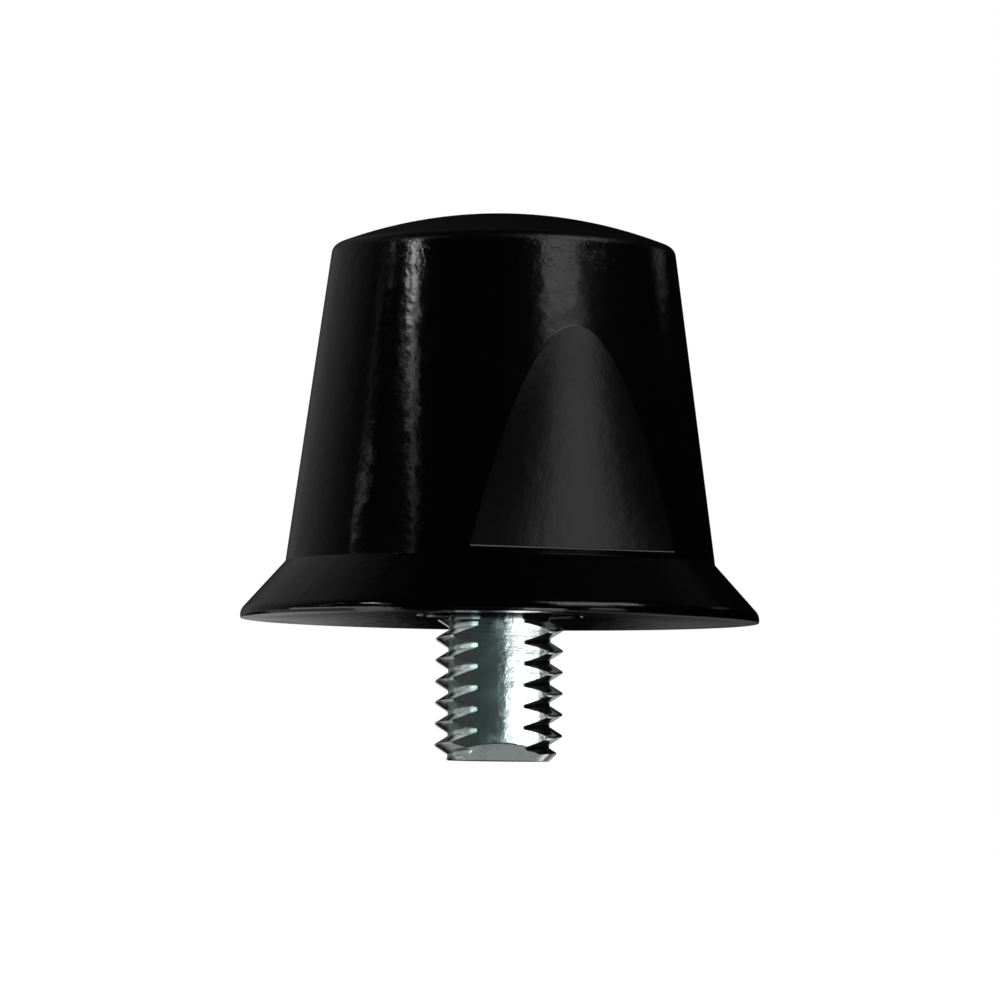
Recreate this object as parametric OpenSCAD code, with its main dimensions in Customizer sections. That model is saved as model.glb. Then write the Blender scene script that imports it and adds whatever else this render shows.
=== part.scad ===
// Screw-in boot stud: a conical nylon body moulded round the head of a steel
// threaded insert.  Millimetres, +Z towards the domed end that meets the ground.
// The origin is on the axis, in the plane of the seat that bears on the sole.

/* [Body] */
// Height from the seat to the middle of the domed end
body_h = 16; // [12:0.5:25]
// Radius at the foot of the side, where the skirt meets it
body_r = 8.45; // [8:0.05:9.5]
// Lean of the side from upright, in degrees
body_taper = 7.75; // [4:0.25:10]
// Radius of the sphere that crowns the domed end
dome_r = 18; // [14:0.5:40]
// Rounding of the rim between the side and the domed end
rim_round = 0.4; // [0.2:0.05:1]

/* [Skirt] */
// Radius of the skirt at its widest
skirt_r = 10.2; // [9.8:0.05:12]
// Slope of the skirt from level, in degrees
skirt_slope = 48; // [40:1:55]
// Rounding of the skirt's lip
lip_round = 0.5; // [0.3:0.05:0.8]
// Height of the lip's widest point above the seat
lip_rise = 0.12; // [0:0.02:0.3]
// Hollow blend between the skirt and the side
skirt_blend = 0.5; // [0.3:0.1:1.5]

/* [Underside] */
// Radius inside which the underside is hollowed, so that the stud bears on a ring
hollow_r = 9; // [8:0.1:9.4]
// Depth of that hollow, at the axis
hollow_depth = 0.3; // [0.1:0.05:0.6]
// Clearance between the thread's crest and the wall of the recess above it
recess_gap = 0.7; // [0.4:0.1:1.5]
// Depth of that recess above the seat
recess_depth = 0.5; // [0.4:0.1:1.2]

/* [Spanner flats] */
// Distance across the two spanner flats
across_flats = 14.5; // [13:0.25:16]
// Height above the seat of the ledge at the foot of each flat
flat_foot = 2.45; // [2.3:0.05:4]
// Rounding where a flat meets its ledge
flat_foot_round = 0.4; // [0.2:0.1:0.8]

/* [Threaded insert] */
// Outside diameter of the thread
thread_d = 5; // [4:0.5:6]
// Length of thread below the seat
thread_out = 5.5; // [4:0.5:12]
// Chamfer round the end of the thread
end_chamfer = 0.5; // [0.2:0.05:0.8]
// Depth of the flat ground along the thread
key_depth = 0.66; // [0.2:0.02:0.8]
// Turn of that flat about the axis from the front spanner flat, in degrees
key_turn = -20; // [-45:5:45]
// Step from the thread's crest in to the plain neck above it
neck_step = 0.5; // [0.1:0.05:0.8]
// Height of the underside of the hexagon head above the seat
head_foot = 2.5; // [1.5:0.25:5]
// Height of the hexagon head
head_h = 3.5; // [2.5:0.5:5]
// Distance across the flats of the hexagon head
head_af = 8; // [7:0.5:10]
// Slope of the bevel round the top of the head, in degrees
head_bevel = 30; // [15:5:45]
// Clearance between the insert and the nylon moulded round it
mould_gap = 0; // [0:0.01:0.05]

/* [Hidden] */
$fn = 180;

// A length that passes every face of the part
reach = 60;

thread_r = thread_d / 2;
neck_r = thread_r - neck_step;
recess_r = thread_r + recess_gap;

// Points on the section are [radius, height].
// Centre of the lip's arc, and the end of the arc on the skirt's slope
lip_mid = [skirt_r - lip_round, lip_rise];
skirt_out = [sin(skirt_slope), cos(skirt_slope)];
lip_end = lip_mid + lip_round * skirt_out;

// Foot of the side, with the directions up the side and straight out of it
foot = [body_r, lip_end[1] + (lip_end[0] - body_r) * tan(skirt_slope)];
side_up = [-sin(body_taper), cos(body_taper)];
side_out = [cos(body_taper), sin(body_taper)];

// Centre of the blend's arc, which touches both the skirt's slope and the side
blend_mid = foot + skirt_blend * (skirt_out + side_out) / (1 + skirt_out * side_out);

// Centre of the rim's arc, which touches the side and the crown from inside
dome_mid = [0, body_h - dome_r];
rim_in = foot * side_out - rim_round;
rim_up = sqrt(pow(dome_r - rim_round, 2) - pow(rim_in - dome_mid * side_out, 2));
rim_mid = rim_in * side_out + (dome_mid * side_up + rim_up) * side_up;
rim_way = (rim_mid - dome_mid) / norm(rim_mid - dome_mid);

// Everything of the section that lies above the seat and right of the axis
module above_seat() {
    intersection() {
        square(reach);
        children();
    }
}

// Skirt and side, as far as the centre of the rim's arc
module side_section() {
    polygon([
        [0, -reach],
        [lip_mid[0], -reach],
        lip_mid,
        lip_end,
        foot,
        rim_mid + rim_round * side_out,
        rim_mid,
        dome_mid
    ]);
    translate(lip_mid) circle(lip_round);
    translate(rim_mid) circle(rim_round);
}

// Fills the corner between the skirt and the side with a hollow arc
module blend_section() {
    difference() {
        polygon([
            foot - skirt_blend * side_out,
            blend_mid - skirt_blend * skirt_out,
            blend_mid,
            blend_mid - skirt_blend * side_out
        ]);
        translate(blend_mid) circle(skirt_blend);
    }
}

// Crown of the domed end, from the axis to the rim's arc
module crown_section() {
    intersection() {
        translate(dome_mid) circle(dome_r);
        polygon([dome_mid, dome_mid + 2 * dome_r * rim_way, dome_mid + [0, 2 * dome_r]]);
    }
}

// Hollow of the underside, and the recess round the neck
module underside_section() {
    polygon([[0, -reach], [hollow_r, -reach], [hollow_r, 0], [0, hollow_depth]]);
    translate([0, -reach]) square([recess_r, reach + recess_depth]);
}

// Cuts one flat square to Y, down to its ledge, with a rounded foot
module flat_cutter() {
    rotate([90, 0, 90])
        linear_extrude(2 * reach, center = true)
            translate([across_flats / 2, flat_foot])
                difference() {
                    square(reach);
                    difference() {
                        square(flat_foot_round);
                        translate([flat_foot_round, flat_foot_round]) circle(flat_foot_round);
                    }
                }
}

// Neck, and the hexagon head that the nylon grips, grown all round by a gap
module anchor(gap) {
    bevel_r = head_af / 2 + gap;
    top = head_h + 2 * gap;
    cylinder(r = neck_r + gap, h = head_foot);
    translate([0, 0, head_foot - gap])
        intersection() {
            cylinder(r = bevel_r / cos(30), h = top, $fn = 6);
            rotate_extrude()
                polygon([
                    [0, 0],
                    [head_af, 0],
                    [head_af, top - (head_af - bevel_r) * tan(head_bevel)],
                    [bevel_r, top],
                    [0, top]
                ]);
        }
}

// Threaded length at its crest diameter, from the seat to the chamfered free end
module shank() {
    rotate_extrude()
        polygon([
            [0, -thread_out],
            [thread_r - end_chamfer, -thread_out],
            [thread_r, end_chamfer - thread_out],
            [thread_r, 0],
            [0, 0]
        ]);
}

// Takes the long flat off the threaded length
module key_cutter() {
    rotate([0, 0, key_turn])
        translate([-reach / 2, key_depth - thread_r - reach, recess_depth - reach])
            cube(reach);
}

module stud_body() {
    color([0.07, 0.07, 0.08])
        difference() {
            rotate_extrude()
                difference() {
                    above_seat() {
                        side_section();
                        blend_section();
                        crown_section();
                    }
                    underside_section();
                }
            for (turn = [0, 180]) rotate([0, 0, turn]) flat_cutter();
            anchor(mould_gap);
        }
}

module threaded_insert() {
    color([0.78, 0.8, 0.82])
        difference() {
            union() {
                shank();
                anchor(0);
            }
            key_cutter();
        }
}

stud_body();
threaded_insert();
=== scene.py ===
"""Looks of a screw-in boot stud: a moulded nylon body round a plated, threaded steel insert.

Lengths in the dataclasses are millimetres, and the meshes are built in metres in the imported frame:
the origin is on the axis in the plane of the seat, +Z points to the domed end, and the spanner
flats face +Y and -Y.
"""

import logging
import math
from collections.abc import Iterable, Mapping, Sequence
from dataclasses import dataclass, field
from enum import Enum
from typing import Union

import bmesh
import bpy
from mathutils import Matrix, Vector


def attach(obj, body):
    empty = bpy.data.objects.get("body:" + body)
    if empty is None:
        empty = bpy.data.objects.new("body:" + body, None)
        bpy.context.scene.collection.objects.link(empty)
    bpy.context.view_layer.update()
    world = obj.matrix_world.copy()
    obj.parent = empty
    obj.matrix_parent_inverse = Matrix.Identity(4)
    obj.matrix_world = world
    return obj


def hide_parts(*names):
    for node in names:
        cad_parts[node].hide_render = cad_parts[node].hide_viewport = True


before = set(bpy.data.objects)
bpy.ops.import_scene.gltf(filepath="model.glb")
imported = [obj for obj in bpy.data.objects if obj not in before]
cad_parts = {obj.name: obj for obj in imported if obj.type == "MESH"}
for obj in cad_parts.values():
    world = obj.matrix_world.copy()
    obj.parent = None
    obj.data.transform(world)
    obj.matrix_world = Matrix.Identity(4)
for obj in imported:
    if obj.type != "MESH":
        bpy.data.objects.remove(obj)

LOG = logging.getLogger("boot_stud")
MM = 0.001
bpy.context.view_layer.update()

# Lengths in millimetres: below the first a length is nothing, below the second two points are
# one, and below the third an edge lies in a plane
NOTHING = 1e-6
SAME = 1e-5
TOUCH = 1e-4

# Steps round the axis for the body and for the thread
BODY_STEPS = 240
THREAD_STEPS = 144

# Direction from left to right across the front: its share along +X and along -Y
ACROSS_X = 0.92
ACROSS_Y = 0.38

Point = tuple[float, float]
Colour = tuple[float, float, float, float]
Band = tuple[float, float]
Window = tuple[float, float, float, float]


class Side(Enum):
    """The two spanner flats, by the sign of the Y that each one faces."""

    FRONT = -1
    BACK = 1


class Ray(Enum):
    """Kinds of light ray that the studio answers in its own way."""

    CAMERA = "Is Camera Ray"
    GLOSSY = "Is Glossy Ray"
    TRANSMISSION = "Is Transmission Ray"


# --------------------------------------------------------------------------------------
# Shader maths


class Signal:
    """One output socket of a shader node, which Python's operators join to Math nodes."""

    def __init__(self, recipe: "Recipe", socket: bpy.types.NodeSocket) -> None:
        """Wraps a socket.

        Args:
            recipe: The node tree that the socket belongs to.
            socket: The output socket.
        """
        self.recipe = recipe
        self.socket = socket

    def math(self, operation: str, *others: "Feed", first: bool = True) -> "Signal":
        """Adds one Math node.

        Args:
            operation: The Math node's operation.
            others: The other operands.
            first: False puts this signal second, for a reflected operator.

        Returns:
            The node's result.
        """
        feeds = (self, *others) if first else (*others, self)
        return self.recipe.node("ShaderNodeMath", {"operation": operation}, dict(enumerate(feeds)))

    def __add__(self, other: "Feed") -> "Signal":
        """Sum."""
        return self.math("ADD", other)

    def __radd__(self, other: "Feed") -> "Signal":
        """Sum, reflected."""
        return self.math("ADD", other, first=False)

    def __sub__(self, other: "Feed") -> "Signal":
        """Difference."""
        return self.math("SUBTRACT", other)

    def __rsub__(self, other: "Feed") -> "Signal":
        """Difference, reflected."""
        return self.math("SUBTRACT", other, first=False)

    def __mul__(self, other: "Feed") -> "Signal":
        """Product."""
        return self.math("MULTIPLY", other)

    def __abs__(self) -> "Signal":
        """Size without the sign."""
        return self.math("ABSOLUTE")

    def between(self, low: float, high: float) -> "Signal":
        """Rises smoothly from 0 at low to 1 at high, or falls where low is the larger.

        Args:
            low: The value that gives 0.
            high: The value that gives 1.

        Returns:
            The smooth step.
        """
        return self.recipe.node(
            "ShaderNodeMapRange",
            {"interpolation_type": "SMOOTHSTEP"},
            {"Value": self, "From Min": low, "From Max": high},
        )

    def window(self, marks: Window) -> "Signal":
        """Rises from 0 at the first mark to 1 at the second, and falls from the third to the last.

        Args:
            marks: The four marks, in rising order.

        Returns:
            The window's level.
        """
        return self.between(marks[0], marks[1]) * self.between(marks[3], marks[2])


Feed = Union[Signal, float, Sequence[float]]


@dataclass(frozen=True)
class Texture:
    """Cloudy noise: the size of one cloud in millimetres, its finer layers and their strength."""

    size: float
    layers: float = 2.0
    strength: float = 0.5


class Recipe:
    """The node tree of one material or world."""

    def __init__(self, tree: bpy.types.NodeTree) -> None:
        """Empties the tree.

        Args:
            tree: The node tree to build in.
        """
        self.tree = tree
        tree.nodes.clear()

    def node(
        self,
        kind: str,
        settings: Mapping[str, object],
        inputs: Mapping[Union[str, int], Feed],
        output: Union[str, int] = 0,
    ) -> Signal:
        """Adds any node, with its settings first and then its sockets.

        Args:
            kind: The node's type.
            settings: Its properties.
            inputs: A value or a signal for each socket named or numbered.
            output: The output socket to return.

        Returns:
            The signal of that output.
        """
        made = self.tree.nodes.new(kind)
        for name, value in settings.items():
            setattr(made, name, value)
        for key, feed in inputs.items():
            if isinstance(feed, Signal):
                self.tree.links.new(feed.socket, made.inputs[key])
            else:
                made.inputs[key].default_value = feed
        return Signal(self, made.outputs[output])

    def place(self) -> Signal:
        """The point on the piece, in millimetres."""
        return self.stretch(self.node("ShaderNodeTexCoord", {}, {}, "Object"), (1000, 1000, 1000))

    def stretch(self, spot: Signal, scale: Sequence[float]) -> Signal:
        """Scales a point on each axis by its own number."""
        return self.node("ShaderNodeMapping", {}, {"Vector": spot, "Scale": scale})

    def along(self, spot: Signal, way: Sequence[float]) -> Signal:
        """How far a vector reaches along a direction."""
        return self.node(
            "ShaderNodeVectorMath", {"operation": "DOT_PRODUCT"}, {0: spot, 1: way}, "Value"
        )

    def axes(self, spot: Signal) -> tuple[Signal, Signal, Signal]:
        """Splits a point.

        Args:
            spot: The vector to split.

        Returns:
            Its X, Y and Z.
        """
        split = self.node("ShaderNodeSeparateXYZ", {}, {"Vector": spot})
        outputs = split.socket.node.outputs
        return tuple(Signal(self, outputs[name]) for name in "XYZ")

    def noise(self, spot: Signal, texture: Texture) -> Signal:
        """Cloudy noise from 0 to 1.

        Args:
            spot: Where to look it up, in millimetres.
            texture: The size and the finer layers.

        Returns:
            The noise.
        """
        return self.node(
            "ShaderNodeTexNoise",
            {},
            {
                "Vector": spot,
                "Scale": 1.0 / texture.size,
                "Detail": texture.layers,
                "Roughness": texture.strength,
            },
        )

    def blend(self, share: Signal, first: Feed, second: Feed) -> Signal:
        """Mixes two colours or two normals.

        Args:
            share: 0 for the first, 1 for the second.
            first: A colour or a normal.
            second: Another one.

        Returns:
            The mixture.
        """
        return self.node(
            "ShaderNodeMix", {"data_type": "RGBA"}, {0: share, 6: first, 7: second}, 2
        )

    def dent(self, height: Signal) -> Signal:
        """Turns a height in millimetres into a bumped normal."""
        return self.node("ShaderNodeBump", {}, {"Height": height, "Distance": MM, "Strength": 1.0})

    def close(self, shader: Signal, kind: str = "ShaderNodeOutputMaterial") -> None:
        """Joins a shader to the tree's output.

        Args:
            shader: The finished shader.
            kind: The type of the output node.
        """
        end = self.tree.nodes.new(kind)
        self.tree.links.new(shader.socket, end.inputs["Surface"])


def new_recipe(name: str) -> tuple[bpy.types.Material, Recipe]:
    """Makes an empty material.

    Args:
        name: The material's name.

    Returns:
        The material and the recipe of its nodes.
    """
    material = bpy.data.materials.new(name)
    material.use_nodes = True
    return material, Recipe(material.node_tree)


# --------------------------------------------------------------------------------------
# Mesh tools


class Section:
    """Half of a turned shape, drawn in the XZ plane by moving a tip from corner to corner."""

    def __init__(self, start: Point) -> None:
        """Puts the tip down.

        Args:
            start: Radius and height of the first corner, in millimetres.
        """
        self.bm = bmesh.new()
        self.tip = self.bm.verts.new((start[0], 0.0, start[1]))

    def line(self, to: Point, pieces: int = 1) -> None:
        """Draws a straight line and leaves the tip at its end.

        Args:
            to: Radius and height of its end.
            pieces: How many edges it gets.
        """
        step = (Vector((to[0], 0.0, to[1])) - self.tip.co) / pieces
        for _ in range(pieces):
            made = bmesh.ops.extrude_vert_indiv(self.bm, verts=[self.tip])
            self.tip = made["verts"][0]
            bmesh.ops.translate(self.bm, vec=step, verts=[self.tip])

    def arc(self, centre: Point, degrees: float, pieces: int) -> None:
        """Draws an arc from the tip and leaves the tip at its end.

        Args:
            centre: Radius and height of its centre.
            degrees: How far it turns from +Z towards +X.
            pieces: How many edges it gets.
        """
        made = bmesh.ops.spin(
            self.bm,
            geom=[self.tip],
            cent=(centre[0], 0.0, centre[1]),
            axis=(0, 1, 0),
            dvec=(0, 0, 0),
            angle=math.radians(degrees),
            steps=pieces,
            use_merge=False,
            use_duplicate=False,
        )
        self.tip = made["geom_last"][0]

    def turned(self, rise: float = 0.0, steps: int = BODY_STEPS) -> bmesh.types.BMesh:
        """Spins the section once about the axis.

        Args:
            rise: How far the turn climbs. 0 gives a closed ring, and more gives a helix.
            steps: How many steps the turn has.

        Returns:
            The turned mesh, in millimetres.
        """
        bmesh.ops.spin(
            self.bm,
            geom=self.bm.verts[:] + self.bm.edges[:],
            cent=(0, 0, 0),
            axis=(0, 0, 1),
            dvec=(0, 0, rise / steps),
            angle=math.tau,
            steps=steps,
            use_merge=rise == 0.0,
            use_duplicate=False,
        )
        bmesh.ops.remove_doubles(self.bm, verts=self.bm.verts[:], dist=SAME)
        bmesh.ops.dissolve_degenerate(self.bm, edges=self.bm.edges[:], dist=NOTHING)
        return self.bm


def cut(
    bm: bmesh.types.BMesh,
    faces: Iterable[bmesh.types.BMFace],
    point: Sequence[float],
    normal: Sequence[float],
    clear: bool = False,
) -> None:
    """Cuts faces along a plane.

    Args:
        bm: The mesh.
        faces: The faces to cut.
        point: A point on the plane.
        normal: The plane's normal.
        clear: True removes what lies on the normal's side.
    """
    # A dict keeps the order in which the edges and the corners are found, and a set doesn't
    faces = list(faces)
    edges = dict.fromkeys(edge for face in faces for edge in face.edges)
    verts = dict.fromkeys(vert for face in faces for vert in face.verts)
    bmesh.ops.bisect_plane(
        bm,
        geom=[*faces, *edges, *verts],
        dist=NOTHING,
        plane_co=point,
        plane_no=normal,
        clear_outer=clear,
        clear_inner=False,
    )


def finish_piece(
    name: str, bm: bmesh.types.BMesh, material: bpy.types.Material, crease: float
) -> bpy.types.Object:
    """Makes an object of a mesh in millimetres, smooth but for its sharp edges.

    Args:
        name: The piece's name.
        bm: The finished mesh.
        material: What it is made of.
        crease: The angle between two faces, in degrees, past which their edge stays sharp.

    Returns:
        The object, at the origin.
    """
    bmesh.ops.recalc_face_normals(bm, faces=bm.faces[:])
    for face in bm.faces:
        face.smooth = True
    for edge in bm.edges:
        edge.smooth = edge.calc_face_angle(0.0) < math.radians(crease)
    bmesh.ops.scale(bm, vec=(MM, MM, MM), verts=bm.verts[:])
    mesh = bpy.data.meshes.new(name)
    bm.to_mesh(mesh)
    bm.free()
    mesh.materials.append(material)
    piece = bpy.data.objects.new(name, mesh)
    bpy.context.scene.collection.objects.link(piece)
    return piece


@dataclass(frozen=True)
class HexagonHead:
    """The insert's head inside the nylon, and so the body's pocket for it too."""

    foot: float = 2.5
    height: float = 3.5
    across: float = 8.0
    bevel: float = 30.0
    slack: float = 0.01

    def top(self) -> float:
        """Height of the head's top above the seat."""
        return self.foot + self.height

    def draw(self, out: Section, foot_pieces: int, top_pieces: int) -> None:
        """Draws the underside, the side, the bevel and the top.

        Args:
            out: The section, with its tip at the neck.
            foot_pieces: How many edges the underside gets.
            top_pieces: How many edges the top gets.
        """
        flat = self.across / 2
        corner = flat / math.cos(math.radians(30))
        drop = (corner - flat) * math.tan(math.radians(self.bevel))
        out.line((corner, self.foot), foot_pieces)
        out.line((corner, self.top() - drop), 6)
        out.line((flat, self.top()), 6)
        out.line((0.0, self.top()), top_pieces)

    def press(self, verts: Iterable[bmesh.types.BMVert]) -> None:
        """Brings what lies outside the hexagon in to its six sides, along the radius.

        Args:
            verts: The vertices to press. The hexagon has a corner on the X axis.
        """
        for vert in verts:
            turn = math.degrees(math.atan2(vert.co.y, vert.co.x)) % 60 - 30
            draw_in(vert, self.across / 2 / math.cos(math.radians(turn)))


def draw_in(vert: bmesh.types.BMVert, reach: float) -> None:
    """Brings a vertex in along the radius, if it lies further out than the reach.

    Args:
        vert: The vertex.
        reach: The greatest radius that it may have.
    """
    radius = vert.co.xy.length
    if radius > reach:
        vert.co.x *= reach / radius
        vert.co.y *= reach / radius


# --------------------------------------------------------------------------------------
# Finishes


@dataclass(frozen=True)
class Relief:
    """Heights in millimetres that the moulding's textures reach on one kind of face."""

    peel: float
    cloud: float
    grain: float


@dataclass(frozen=True)
class BlackNylon:
    """Black moulded nylon: a slight orange peel, nicks near the crown and duller spanner flats.

    Each band says where a zone or a mark begins and where it is full.
    """

    slot: str = "black_nylon"
    base: Colour = (0.0012, 0.0012, 0.0014, 1.0)
    dust: Colour = (0.0045, 0.0044, 0.0040, 1.0)
    scuff_dust: float = 0.4
    flat_dust: float = 0.2
    ior: float = 1.53

    # Roughness of each zone, and how far the textures sway it
    gloss: float = 0.115
    rubbed_gloss: float = 0.175
    flat_gloss: float = 0.19
    seat_gloss: float = 0.10
    brow_gloss: float = 0.35
    cloud_sway: float = 0.05
    scuff_sway: float = 0.05
    grain_sway: float = 0.04

    # Zones, in millimetres: off a flat's plane, up from its ledge, across the front, and heights
    flat_skin: Band = (0.012, 0.004)
    flat_fade: float = 0.1
    rubbed: Band = (-1.0, 1.0)
    seat: Band = (0.36, 0.31)
    crown: Band = (12.0, 15.0)
    brow: Band = (14.36, 14.50)

    # Textures, the marks that two of them leave, and the relief
    peel: Texture = Texture(0.55, 1.5, 0.45)
    cloud: Texture = Texture(3.5)
    grain: Texture = Texture(0.13, 2.0, 0.6)
    nick: Texture = Texture(0.34, 3.0, 0.65)
    scuff: Texture = Texture(0.9, 4.0, 0.7)
    nick_marks: Band = (0.48, 0.70)
    scuff_marks: Band = (0.60, 0.74)
    side_relief: Relief = Relief(0.014, 0.030, 0.0018)
    flat_relief: Relief = Relief(0.006, 0.012, 0.0023)
    nick_relief: float = 0.006

    # Swelling of a flat on each square millimetre that lies between the point and the side's
    # round: at the seat, and its growth on each millimetre of height
    swell: float = 0.010
    swell_growth: float = 0.0026

    def material(
        self, flat_y: float, flat_foot: float, side_r: float, side_lean: float
    ) -> bpy.types.Material:
        """Builds the material.

        Args:
            flat_y: How far the spanner flats stand from the axis.
            flat_foot: The height of their ledges.
            side_r: The radius that the tapered side would have at the seat.
            side_lean: How much of that radius is lost on each millimetre of height.

        Returns:
            The finished material.
        """
        material, recipe = new_recipe(self.slot)
        spot = recipe.place()
        x, y, z = recipe.axes(spot)
        peel = recipe.noise(spot, self.peel)
        cloud = recipe.noise(spot, self.cloud)
        grain = recipe.noise(spot, self.grain)
        nicks = recipe.noise(spot, self.nick).between(*self.nick_marks)
        scuff = recipe.noise(spot, self.scuff).between(*self.scuff_marks)

        plane = abs(abs(y) - flat_y).between(*self.flat_skin)
        on_flat = plane * z.between(flat_foot, flat_foot + self.flat_fade)
        off_flat = 1.0 - on_flat
        seat = z.between(*self.seat)
        rubbed = (x * ACROSS_X - y * ACROSS_Y).between(*self.rubbed)
        crown = z.between(*self.crown)
        brow = z.between(*self.brow)

        on_side, on_plane = (
            peel * relief.peel + cloud * relief.cloud + grain * relief.grain
            for relief in (self.side_relief, self.flat_relief)
        )
        side = side_r - z * side_lean
        inside = side * side - x * x - flat_y * flat_y
        swell = inside * (z * self.swell_growth + self.swell)
        side_normal = recipe.dent(on_side + nicks * crown * self.nick_relief)
        normal = recipe.blend(on_flat, side_normal, recipe.dent(on_plane + swell))

        bare = self.gloss + rubbed * (self.rubbed_gloss - self.gloss)
        rough = bare + on_flat * (self.flat_gloss - bare)
        rough = rough + seat * (self.seat_gloss - bare)
        rough = rough + brow * (self.brow_gloss - bare)
        rough = rough + (cloud - 0.5) * self.cloud_sway
        rough = rough + scuff * off_flat * self.scuff_sway
        rough = rough + (grain - 0.5) * self.grain_sway
        dusty = scuff * self.scuff_dust + on_flat * self.flat_dust
        shader = recipe.node(
            "ShaderNodeBsdfPrincipled",
            {},
            {
                "Base Color": recipe.blend(dusty, self.base, self.dust),
                "Roughness": rough,
                "IOR": self.ior,
                "Normal": normal,
            },
        )
        recipe.close(shader)
        return material


@dataclass(frozen=True)
class ZincPlate:
    """Bright zinc plate on rolled steel with fine drawn marks, a painted reflection tint at the
    front of the free end and painted shade above the seat.

    Each band says where a zone or a mark begins and where it is full.
    """

    slot: str = "plated_steel"
    bright: Colour = (0.79, 0.86, 0.85, 1.0)
    dull: Colour = (0.54, 0.60, 0.56, 1.0)
    # Painted reflection: the cold colour that the front of the free end takes on, for the tinted
    # light it mirrors
    painted_reflection_colour: Colour = (0.56, 0.84, 0.83, 1.0)
    # Painted shade: the near-black that the plate takes on just above the seat, for the shadow in
    # the recess
    dark: Colour = (0.03, 0.03, 0.03, 1.0)
    gloss: float = 0.13
    stain_sway: float = 0.10
    grit_sway: float = 0.06

    # Textures, the marks that the stain leaves in colour and roughness, and the relief
    stain: Texture = Texture(0.7, 3.0, 0.6)
    ripple: Texture = Texture(0.28)
    grit: Texture = Texture(0.07)
    drawn: Texture = Texture(0.16, 3.0, 0.6)
    drawn_stretch: tuple[float, float, float] = (0.12, 0.12, 1.0)
    stain_tone: Band = (0.45, 0.75)
    stain_marks: Band = (0.4, 0.8)
    ripple_relief: float = 0.005
    grit_relief: float = 0.0008
    drawn_relief: float = 0.004

    # Painted reflection: a cold tint at the front of the threaded length; painted shade: the plate
    # darkened in the recess above the seat
    painted_reflection_across: Window = (-1.2, -0.75, -0.1, 0.6)
    painted_reflection_front: Band = (0.0, -1.0)
    painted_reflection_rise: Band = (-5.0, -4.8)
    painted_shade_rise: Band = (-0.05, 0.12)
    painted_light_share: float = 0.9

    def material(self) -> bpy.types.Material:
        """Builds the material.

        Returns:
            The finished material.
        """
        material, recipe = new_recipe(self.slot)
        spot = recipe.place()
        x, y, z = recipe.axes(spot)
        stain = recipe.noise(spot, self.stain)
        ripple = recipe.noise(spot, self.ripple)
        grit = recipe.noise(spot, self.grit)
        drawn = recipe.noise(recipe.stretch(spot, self.drawn_stretch), self.drawn)

        across = x * ACROSS_X - y * ACROSS_Y
        inward = x * ACROSS_Y + y * ACROSS_X
        # Painted reflection: a cold tint on the side of the free end that faces the camera
        painted_reflection = across.window(self.painted_reflection_across) * z.between(*self.painted_reflection_rise)
        painted_reflection = painted_reflection * inward.between(*self.painted_reflection_front) * self.painted_light_share
        # Painted shade: the plate turns near-black just above the seat, where the recess is in
        # shadow
        shade = z.between(*self.painted_shade_rise) * self.painted_light_share
        colour = recipe.blend(stain.between(*self.stain_tone), self.bright, self.dull)
        colour = recipe.blend(painted_reflection, colour, self.painted_reflection_colour)
        colour = recipe.blend(shade, colour, self.dark)

        rough = self.gloss + stain.between(*self.stain_marks) * self.stain_sway
        rough = rough + (grit - 0.5) * self.grit_sway
        relief = ripple * self.ripple_relief + grit * self.grit_relief
        relief = relief + drawn * self.drawn_relief
        shader = recipe.node(
            "ShaderNodeBsdfPrincipled",
            {},
            {
                "Base Color": colour,
                "Metallic": 1.0,
                "Roughness": rough,
                "Normal": recipe.dent(relief),
            },
        )
        recipe.close(shader)
        return material


# --------------------------------------------------------------------------------------
# The moulded body


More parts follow.
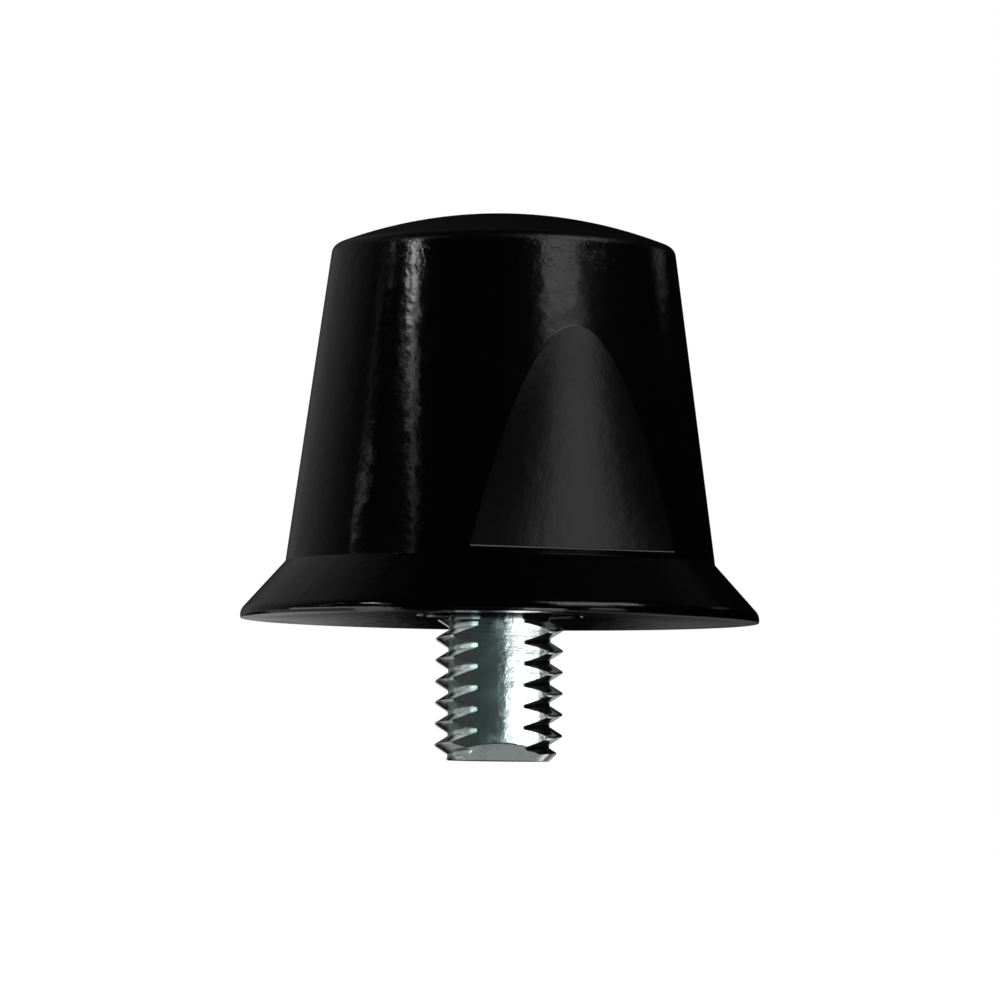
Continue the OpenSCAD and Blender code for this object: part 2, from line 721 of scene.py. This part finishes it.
@dataclass
class StudBody:
    """The nylon body: domed end, tapered side, flared skirt, spanner flats and hollowed seat."""

    body_h: float = 16.0
    body_r: float = 8.45
    taper: float = 7.75
    dome_r: float = 18.0
    rim_round: float = 0.4
    skirt_r: float = 10.2
    skirt_slope: float = 48.0
    lip_round: float = 0.5
    lip_rise: float = 0.12
    blend: float = 0.02
    hollow_r: float = 9.0
    hollow_depth: float = 0.3
    recess_r: float = 3.2
    recess_depth: float = 0.5
    recess_round: float = 0.08
    flat_y: float = 7.25
    flat_foot: float = 2.45
    foot_round: float = 0.15
    neck_r: float = 2.0
    head: HexagonHead = field(default_factory=HexagonHead)
    finish: BlackNylon = field(default_factory=BlackNylon)

    # For the mesh alone: the radius past which a face belongs to the outside, how far from the
    # axis a flat's own side begins, how far round a flat's foot the side is cut into rings, an
    # edge of the tapered side, a ledge, the rings of its hollow in degrees, and the sharp angle
    skin_r: float = 6.9
    flat_side: float = 5.0
    foot_margin: float = 0.5
    side_edge: float = 0.2
    ledge_h: float = 0.004
    foot_rings: range = range(12, 90, 6)
    crease: float = 6.9

    def section(self) -> Section:
        """Draws the section, from the middle of the dome round to the top of the pocket.

        Returns:
            The section.
        """
        slope, lean = math.radians(self.skirt_slope), math.radians(self.taper)
        skirt_out = Vector((math.sin(slope), math.cos(slope)))
        side_out = Vector((math.cos(lean), math.sin(lean)))
        side_up = Vector((-math.sin(lean), math.cos(lean)))
        lip_mid = Vector((self.skirt_r - self.lip_round, self.lip_rise))
        lip_end = lip_mid + self.lip_round * skirt_out
        foot = Vector((self.body_r, lip_end.y + (lip_end.x - self.body_r) * math.tan(slope)))
        blend_mid = foot + self.blend * (skirt_out + side_out) / (1 + skirt_out.dot(side_out))
        dome_mid = Vector((0.0, self.body_h - self.dome_r))
        rim_in = foot.dot(side_out) - self.rim_round
        rim_up = math.sqrt(
            (self.dome_r - self.rim_round) ** 2 - (rim_in - dome_mid.dot(side_out)) ** 2
        )
        rim_mid = rim_in * side_out + (dome_mid.dot(side_up) + rim_up) * side_up
        crown = math.degrees(math.atan2(rim_mid.x, rim_mid.y - dome_mid.y))
        side_top = rim_mid + self.rim_round * side_out
        side_low = blend_mid - self.blend * side_out
        lip_low = -math.degrees(math.asin(self.lip_rise / self.lip_round))

        out = Section((0.0, self.body_h))
        out.arc(dome_mid, crown, 30)
        out.arc(rim_mid, 90 - self.taper - crown, 12)
        out.line(side_low, int((side_top - side_low).length / self.side_edge))
        out.arc(blend_mid, -(90 - self.taper - self.skirt_slope), 8)
        out.line(lip_end, 12)
        out.arc(lip_mid, 90 - self.skirt_slope - lip_low, 14)
        out.line((self.hollow_r, 0.0), 5)
        edge_r = self.recess_r + self.recess_round
        edge_z = self.hollow_depth * (1 - edge_r / self.hollow_r)
        out.line((edge_r, edge_z), 22)
        out.line((self.recess_r, edge_z + self.recess_round))
        out.line((self.recess_r, self.recess_depth), 3)
        out.line((self.neck_r, self.recess_depth), 4)
        out.line((self.neck_r, self.head.foot), 6)
        self.head.draw(out, 6, 8)
        return out

    def limit(self, z: float) -> float:
        """How far the flat, or the hollow round at its foot, stands from the axis.

        Args:
            z: The height to look at.

        Returns:
            The distance along Y.
        """
        rise = z - self.flat_foot
        if rise >= self.foot_round:
            return self.flat_y
        run = math.sqrt(max(0.0, self.foot_round**2 - (self.foot_round - rise) ** 2))
        return self.flat_y + self.foot_round - run

    def cut_flats(self, bm: bmesh.types.BMesh) -> None:
        """Presses the two spanner flats into the side, with clean edges.

        Args:
            bm: The turned body.
        """
        foot, top = self.flat_foot, self.flat_foot + self.foot_round
        levels = [foot, foot + self.ledge_h]
        for degrees in self.foot_rings:
            levels.append(foot + self.foot_round * (1 - math.cos(math.radians(degrees))))
        levels.append(top)

        def skin(low: float, high: float, sign: int = 0) -> list[bmesh.types.BMFace]:
            """Finds the faces of the outer side between two heights.

            Args:
                low: The lower height.
                high: The upper height.
                sign: The sign of Y on the one side to look at, or 0 for all round.

            Returns:
                The faces.
            """
            found = []
            for face in bm.faces:
                middle = face.calc_center_median()
                if low < middle.z < high and middle.xy.length > self.skin_r:
                    if sign == 0 or middle.y * sign > self.flat_side:
                        found.append(face)
            return found

        for level in levels:
            ring = skin(foot - self.foot_margin, top + self.foot_margin)
            cut(bm, ring, (0, 0, level), (0, 0, 1))
        for sign in (side.value for side in Side):
            for low, high in zip(levels, levels[1:]):
                run, rise = self.limit(high) - self.limit(low), high - low
                band = skin(low, high, sign)
                cut(bm, band, (0, sign * self.limit(low), low), (0, sign * rise, -run))
            wall = skin(top, self.body_h, sign)
            cut(bm, wall, (0, sign * self.flat_y, 0), (0, sign, 0))
        for vert in bm.verts:
            if vert.co.z > foot + self.ledge_h / 4 and vert.co.xy.length > self.skin_r:
                reach = self.limit(vert.co.z)
                if abs(vert.co.y) > reach:
                    vert.co.y = math.copysign(reach, vert.co.y)

    def press_pocket(self, bm: bmesh.types.BMesh) -> None:
        """Presses the round pocket to the six sides of the insert's head.

        Args:
            bm: The turned body.
        """
        low, high = self.head.foot - self.head.slack, self.head.top() + self.head.slack
        inner, outer = self.neck_r + 0.1, self.flat_side
        self.head.press(
            v for v in bm.verts if low < v.co.z < high and inner < v.co.xy.length < outer
        )

    def build(self) -> bpy.types.Object:
        """Builds the body and puts it in place of its CAD solid.

        Returns:
            The dressed body.
        """
        bm = self.section().turned()
        self.press_pocket(bm)
        self.cut_flats(bm)
        lean, slope = (math.tan(math.radians(a)) for a in (self.taper, self.skirt_slope))
        skirt = self.lip_round * math.hypot(1.0, slope) + self.lip_rise
        foot_z = skirt + (self.skirt_r - self.lip_round - self.body_r) * slope
        dress = self.finish.material(
            self.flat_y, self.flat_foot, self.body_r + foot_z * lean, lean
        )
        piece = finish_piece("nylon_body", bm, dress, self.crease)
        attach(piece, "root")
        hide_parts("stud_body")
        return piece


# --------------------------------------------------------------------------------------
# The threaded insert


@dataclass
class ThreadedInsert:
    """The steel insert: helical thread with a long flat, end chamfer, neck and hexagon head."""

    crest_r: float = 2.5
    root_r: float = 2.0
    pitch: float = 0.833
    crest_z: float = -2.780
    crest_land: float = 0.05
    crest_round: float = 0.02
    root_land: float = 0.13
    thread_out: float = 5.5
    end_chamfer: float = 0.5
    neck_r: float = 1.98
    flat_at: float = 1.84
    flat_turn: float = -20.0
    flat_crown: float = 9.6
    flat_top: float = 0.5
    nose_lean: float = 28.0
    nose_h: float = 0.65
    head: HexagonHead = field(default_factory=HexagonHead)
    finish: ZincPlate = field(default_factory=ZincPlate)

    # For the mesh alone: how far out the flat's side begins, the turns in degrees of the strips
    # that crown it, an edge above it, the ring round the free end, and the sharp angle
    flat_side: float = 1.3
    flat_strips: range = range(-10, 11, 2)
    neck_edge: float = 0.02
    end_ring: float = 0.25
    crease: float = 28.0

    def thread(self) -> bmesh.types.BMesh:
        """Sweeps one pitch of the outline up a helix, stacks the turns and trims the ends.

        Returns:
            The thread, open at both ends.
        """
        below = math.ceil((self.thread_out + self.crest_z) / self.pitch) + 1
        half = self.pitch / 2
        middle = self.crest_z - below * self.pitch
        shoulder_r = self.crest_r - self.crest_round
        out = Section((self.root_r, middle - half))
        out.line((self.root_r, middle - half + self.root_land / 2))
        out.line((shoulder_r, middle - self.crest_land), 5)
        out.line((self.crest_r, middle - self.crest_land / 2))
        out.line((self.crest_r, middle + self.crest_land / 2))
        out.line((shoulder_r, middle + self.crest_land))
        out.line((self.root_r, middle + half - self.root_land / 2), 5)
        out.line((self.root_r, middle + half))
        bm = out.turned(self.pitch, THREAD_STEPS)
        turn = bm.verts[:] + bm.edges[:] + bm.faces[:]
        for level in range(1, math.ceil(self.thread_out / self.pitch) + 3):
            made = bmesh.ops.duplicate(bm, geom=turn)["geom"]
            verts = [item for item in made if isinstance(item, bmesh.types.BMVert)]
            bmesh.ops.translate(bm, vec=(0, 0, level * self.pitch), verts=verts)
        bmesh.ops.remove_doubles(bm, verts=bm.verts[:], dist=2 * TOUCH)
        cut(bm, bm.faces, (0, 0, -self.thread_out), (0, 0, -1), clear=True)
        cut(bm, bm.faces, (0, 0, 0), (0, 0, 1), clear=True)
        return bm

    def cut_chamfer(self, bm: bmesh.types.BMesh) -> None:
        """Brings the end of the thread in to its chamfer.

        Args:
            bm: The thread.
        """
        cut(bm, bm.faces, (0, 0, self.end_chamfer - self.thread_out), (0, 0, 1))
        for vert in bm.verts:
            draw_in(vert, self.crest_r - self.end_chamfer + vert.co.z + self.thread_out)

    def cut_flat(self, bm: bmesh.types.BMesh) -> None:
        """Presses the long flat in, a little crowned as a ground face is.

        Args:
            bm: The thread or the neck.
        """
        turn = math.radians(self.flat_turn)
        face = Vector((math.sin(turn), -math.cos(turn), 0.0))
        planes = []
        for step in self.flat_strips:
            normal = Matrix.Rotation(math.radians(step), 3, "Z") @ face
            reach = (self.flat_at - self.flat_crown) * math.cos(math.radians(step))
            planes.append((normal, reach + self.flat_crown))
        lean = math.radians(self.nose_lean)
        nose = face * math.cos(lean) - Vector((0.0, 0.0, math.sin(lean)))
        nose_z = self.nose_h - self.thread_out
        planes.append((nose, nose.dot(face * self.flat_at) + nose.z * nose_z))
        for normal, reach in planes:
            near = []
            for item in bm.faces:
                middle = item.calc_center_median()
                if middle.dot(face) > self.flat_side and middle.z < self.flat_top:
                    near.append(item)
            cut(bm, near, normal * reach, normal)
        for vert in bm.verts:
            over = max((way.dot(vert.co) - reach) / way.dot(face) for way, reach in planes)
            if over > 0 and face.dot(vert.co) > 0 and vert.co.z < self.flat_top + 10 * TOUCH:
                vert.co -= face * over

    def close_end(self, bm: bmesh.types.BMesh) -> None:
        """Fills the free end.

        Args:
            bm: The thread.
        """
        rim = [
            e
            for e in bm.edges
            if e.is_boundary and all(abs(v.co.z + self.thread_out) < TOUCH for v in e.verts)
        ]
        made = bmesh.ops.edgeloop_fill(bm, edges=rim)
        bmesh.ops.inset_region(bm, faces=made["faces"], thickness=self.end_ring, depth=0.0)

    def neck_and_head(self) -> bmesh.types.BMesh:
        """Turns the plain neck and the hexagon head.

        Returns:
            The two, open where the thread joins on.
        """
        out = Section((self.neck_r, 0.0))
        out.line((self.neck_r, self.flat_top), 2)
        out.line((self.neck_r, self.flat_top + self.neck_edge))
        out.line((self.neck_r, self.head.foot), 6)
        self.head.draw(out, 4, 6)
        bm = out.turned(steps=THREAD_STEPS)
        self.head.press(v for v in bm.verts if v.co.z > self.head.foot - self.head.slack)
        self.cut_flat(bm)
        return bm

    def build(self) -> bpy.types.Object:
        """Builds the insert and puts it in place of its CAD solid.

        Returns:
            The dressed insert.
        """
        bm = self.thread()
        self.cut_chamfer(bm)
        self.cut_flat(bm)
        self.close_end(bm)
        top = self.neck_and_head()
        spare = bpy.data.meshes.new("neck_and_head")
        top.to_mesh(spare)
        top.free()
        bm.from_mesh(spare)
        bpy.data.meshes.remove(spare)
        rims = [
            e for e in bm.edges if e.is_boundary and all(abs(v.co.z) < TOUCH for v in e.verts)
        ]
        bmesh.ops.bridge_loops(bm, edges=rims)
        piece = finish_piece("plated_insert", bm, self.finish.material(), self.crease)
        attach(piece, "root")
        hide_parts("threaded_insert")
        return piece


# --------------------------------------------------------------------------------------
# The studio


# How far the lamps stand from the axis
LAMP_FAR = 50.0


@dataclass(frozen=True)
class Softbox:
    """A lamp, placed round the stud's axis by its turn to the right of the camera.

    The lean rolls it about its own beam, and the aim is the height on the axis that it faces.
    """

    name: str
    turn: float
    height: float
    wide: float
    tall: float
    glow: float
    lean: float = 0.0
    aim: float = 8.0

    def build(self, camera_turn: float) -> None:
        """Makes the lamp.

        Args:
            camera_turn: The camera's own turn about the axis, in degrees.
        """
        turn = math.radians(camera_turn + self.turn)
        spot = Vector((math.sin(turn), -math.cos(turn), 0.0)) * LAMP_FAR
        spot.z = self.height
        data = bpy.data.lights.new(self.name, "AREA")
        data.shape = "RECTANGLE"
        data.size, data.size_y = self.wide * MM, self.tall * MM
        data.energy = self.glow * math.pi * self.wide * self.tall * MM * MM
        lamp = bpy.data.objects.new(self.name, data)
        way = (Vector((0.0, 0.0, self.aim)) - spot).to_track_quat("-Z", "Y")
        roll = Matrix.Rotation(math.radians(self.lean), 4, "Z")
        lamp.matrix_world = Matrix.Translation(spot * MM) @ way.to_matrix().to_4x4() @ roll
        lamp.visible_camera = False
        bpy.context.scene.collection.objects.link(lamp)


@dataclass(frozen=True)
class Glimpse:
    """A pale part of the room that only shows in what the stud mirrors.

    The spread and the rise are windows in degrees: where the part begins, where it is full, where
    it starts to fade, and where it ends. The spread is counted from the part's own turn.
    """

    name: str
    turn: float
    spread: Window
    rise: Window
    level: float


@dataclass
class Studio:
    """Camera, lamps, pale floor and the room round them."""

    camera_turn: float = -22.5
    camera_rise: float = -3.4
    camera_far: float = 222.0
    camera_roll: float = 0.65
    lens: float = 203.0
    sensor: float = 36.0
    clip: Band = (5.0, 20000.0)
    aim_z: float = 4.764
    aim_left: float = 0.04
    floor_z: float = -30.0
    floor_far: float = 6000.0
    floor_glow: float = 0.7
    paper: Colour = (0.85, 0.85, 0.85, 1.0)
    ambient: float = 0.45
    room: float = 0.002

    # The first four stand one below the other and draw one strip of light down the side
    lamps: tuple[Softbox, ...] = (
        Softbox("strip_first", -59.0, 29.8, 4.2, 6.5, 8.0, lean=39, aim=14),
        Softbox("strip_second", -54.2, 25.0, 3.0, 6.0, 1.7, lean=39, aim=10),
        Softbox("strip_third", -49.4, 20.8, 2.4, 5.0, 0.70, lean=39, aim=7),
        Softbox("strip_last", -46.2, 17.2, 2.4, 4.5, 0.30, lean=39, aim=4),
        Softbox("crown_mark", -75.0, 28.6, 1.8, 3.0, 1.0, lean=25, aim=14),
        Softbox("glint", -79.0, 16.2, 1.6, 7.0, 0.7, lean=-62, aim=4),
        Softbox("right_high", 35.5, 30.5, 19, 5, 1.5, aim=14),
        Softbox("right_low", 37.0, 24.0, 25, 8, 0.5, aim=9),
        Softbox("right_end", 121.5, 25.3, 12, 4, 0.25, aim=14),
        Softbox("rim_left", -72.0, 4.4, 46, 5.6, 2.0),
        Softbox("rim_right", 48.0, 47.0, 44, 22, 2.0),
        Softbox("insert_right", 16.8, -5.5, 13.5, 13, 2.2, aim=-3),
    )
    glimpses: tuple[Glimpse, ...] = (
        Glimpse("left wall", -140, (-38, -12, 8, 60), (-3, 1, 26, 75), 0.14),
        Glimpse("left edge", -87, (-4, -1, 1, 3), (0, 6, 30, 40), 0.10),
        Glimpse("low left", -88, (-44, -30, 20, 30), (-80, -60, -2, 5), 0.45),
        Glimpse("strip's foot", -56, (-14, -7, 5, 14), (-45, -30, -2, 5), 1.5),
        Glimpse("far left", 180, (0.6, 3.2, 12, 30), (-14, -9, -5, 0.5), 0.58),
        Glimpse("far right", 180, (-30, -12, -2.0, -0.75), (-14, -9, -5, 0.5), 0.11),
        Glimpse("low right", 52, (-32, -24, 8, 42), (-60, -40, -16, -9), 0.5),
        Glimpse("floor right", 180, (-42, -32, -8, -2), (-68, -58, -34, -26), 1.2),
        Glimpse("back right", 180, (-26, -16, -8, -5), (-34, -26, -9, -5), 0.35),
        Glimpse("flat's light", 47, (-10, -4.5, 4.5, 10), (-6, 0, 11, 15), 0.95),
        Glimpse("insert's light", 13, (-6.5, -2.5, 1, 5), (-14, -10, 1, 4), 0.8),
        Glimpse("front", -8, (-20, -12, 12, 16), (-14, -6, 8, 12), 0.045),
        Glimpse("sky", 180, (-70, -40, 40, 70), (28, 36, 60, 75), 0.02),
        Glimpse("below", 0, (-182, -181, 181, 182), (-92, -91, -40, -22), 0.25),
    )

    def way(self, turn: float, rise: float) -> Vector:
        """A direction, from degrees to the right of the camera and degrees above the level.

        Args:
            turn: Degrees to the right of the camera, seen from the axis.
            rise: Degrees above the level.

        Returns:
            The unit vector.
        """
        round_axis, up = math.radians(self.camera_turn + turn), math.radians(rise)
        level = math.cos(up)
        return Vector((math.sin(round_axis) * level, -math.cos(round_axis) * level, math.sin(up)))

    def build_camera(self) -> None:
        """Sets the camera up and makes it the scene's own."""
        data = bpy.data.cameras.new("camera")
        data.lens = self.lens
        data.sensor_width = self.sensor
        data.clip_start, data.clip_end = (length * MM for length in self.clip)
        camera = bpy.data.objects.new("camera", data)
        back = self.way(0.0, self.camera_rise)
        left = self.way(-90.0, 0.0)
        aim = Vector((0.0, 0.0, self.aim_z)) + left * self.aim_left
        turn = back.to_track_quat("Z", "Y").to_matrix().to_4x4()
        roll = Matrix.Rotation(math.radians(self.camera_roll), 4, "Z")
        spot = Matrix.Translation((aim + back * self.camera_far) * MM)
        camera.matrix_world = spot @ turn @ roll
        bpy.context.scene.collection.objects.link(camera)
        bpy.context.scene.camera = camera

    def build_floor(self) -> None:
        """Lays the pale floor, which is white to the camera and missing from what is mirrored."""
        bm = bmesh.new()
        bmesh.ops.create_circle(bm, cap_ends=True, segments=96, radius=self.floor_far * MM)
        bmesh.ops.translate(bm, vec=(0, 0, self.floor_z * MM), verts=bm.verts[:])
        mesh = bpy.data.meshes.new("floor")
        bm.to_mesh(mesh)
        bm.free()
        material, recipe = new_recipe("pale_floor")
        paper = recipe.node("ShaderNodeBsdfDiffuse", {}, {"Color": self.paper})
        seen = recipe.node("ShaderNodeLightPath", {}, {}, Ray.CAMERA.value)
        dark, white = (
            recipe.node("ShaderNodeEmission", {}, {"Strength": strength})
            for strength in (0.0, 1.0)
        )
        share = seen * self.floor_glow
        glow = recipe.node("ShaderNodeMixShader", {}, {0: share, 1: dark, 2: white})
        lit = recipe.node("ShaderNodeAddShader", {}, {0: paper, 1: glow})
        mirrored = recipe.node("ShaderNodeLightPath", {}, {}, Ray.GLOSSY.value)
        clear = recipe.node("ShaderNodeBsdfTransparent", {}, {})
        recipe.close(recipe.node("ShaderNodeMixShader", {}, {0: mirrored, 1: lit, 2: clear}))
        mesh.materials.append(material)
        floor = bpy.data.objects.new("floor", mesh)
        bpy.context.scene.collection.objects.link(floor)

    def build_room(self) -> None:
        """Makes the room: white behind for the camera, mostly dark in what the stud mirrors."""
        world = bpy.data.worlds.new("room")
        bpy.context.scene.world = world
        world.use_nodes = True
        world.cycles.sampling_method = "NONE"
        recipe = Recipe(world.node_tree)
        camera, glossy, through = (
            recipe.node("ShaderNodeLightPath", {}, {}, ray.value) for ray in Ray
        )
        mirrored = glossy + through
        look = recipe.node("ShaderNodeTexCoord", {}, {}, "Generated")
        degrees = math.degrees(1.0)
        height = recipe.axes(look)[2].math("ARCSINE") * degrees
        seen: Feed = self.room
        for glimpse in self.glimpses:
            ahead = recipe.along(look, self.way(glimpse.turn, 0.0))
            aside = recipe.along(look, self.way(glimpse.turn + 90.0, 0.0))
            across = aside.math("ARCTAN2", ahead) * degrees
            shown = across.window(glimpse.spread) * height.window(glimpse.rise)
            seen = shown * glimpse.level + seen
            LOG.debug("room: %s", glimpse.name)
        level = camera + mirrored * seen + (1.0 - camera - mirrored) * self.ambient
        shader = recipe.node(
            "ShaderNodeBackground", {}, {"Color": (1.0, 1.0, 1.0, 1.0), "Strength": level}
        )
        recipe.close(shader, "ShaderNodeOutputWorld")

    def build(self) -> None:
        """Builds the whole studio."""
        bpy.context.scene.view_settings.view_transform = "Standard"
        self.build_camera()
        self.build_floor()
        self.build_room()
        for lamp in self.lamps:
            lamp.build(self.camera_turn)


def main() -> None:
    """Builds the studio and the two pieces."""
    logging.basicConfig(level=logging.INFO, format="%(name)s: %(message)s")
    Studio().build()
    for part in (StudBody(), ThreadedInsert()):
        piece = part.build()
        LOG.info("%s: %d faces", piece.name, len(piece.data.polygons))
    bpy.context.view_layer.update()


if __name__ == "__main__":
    main()
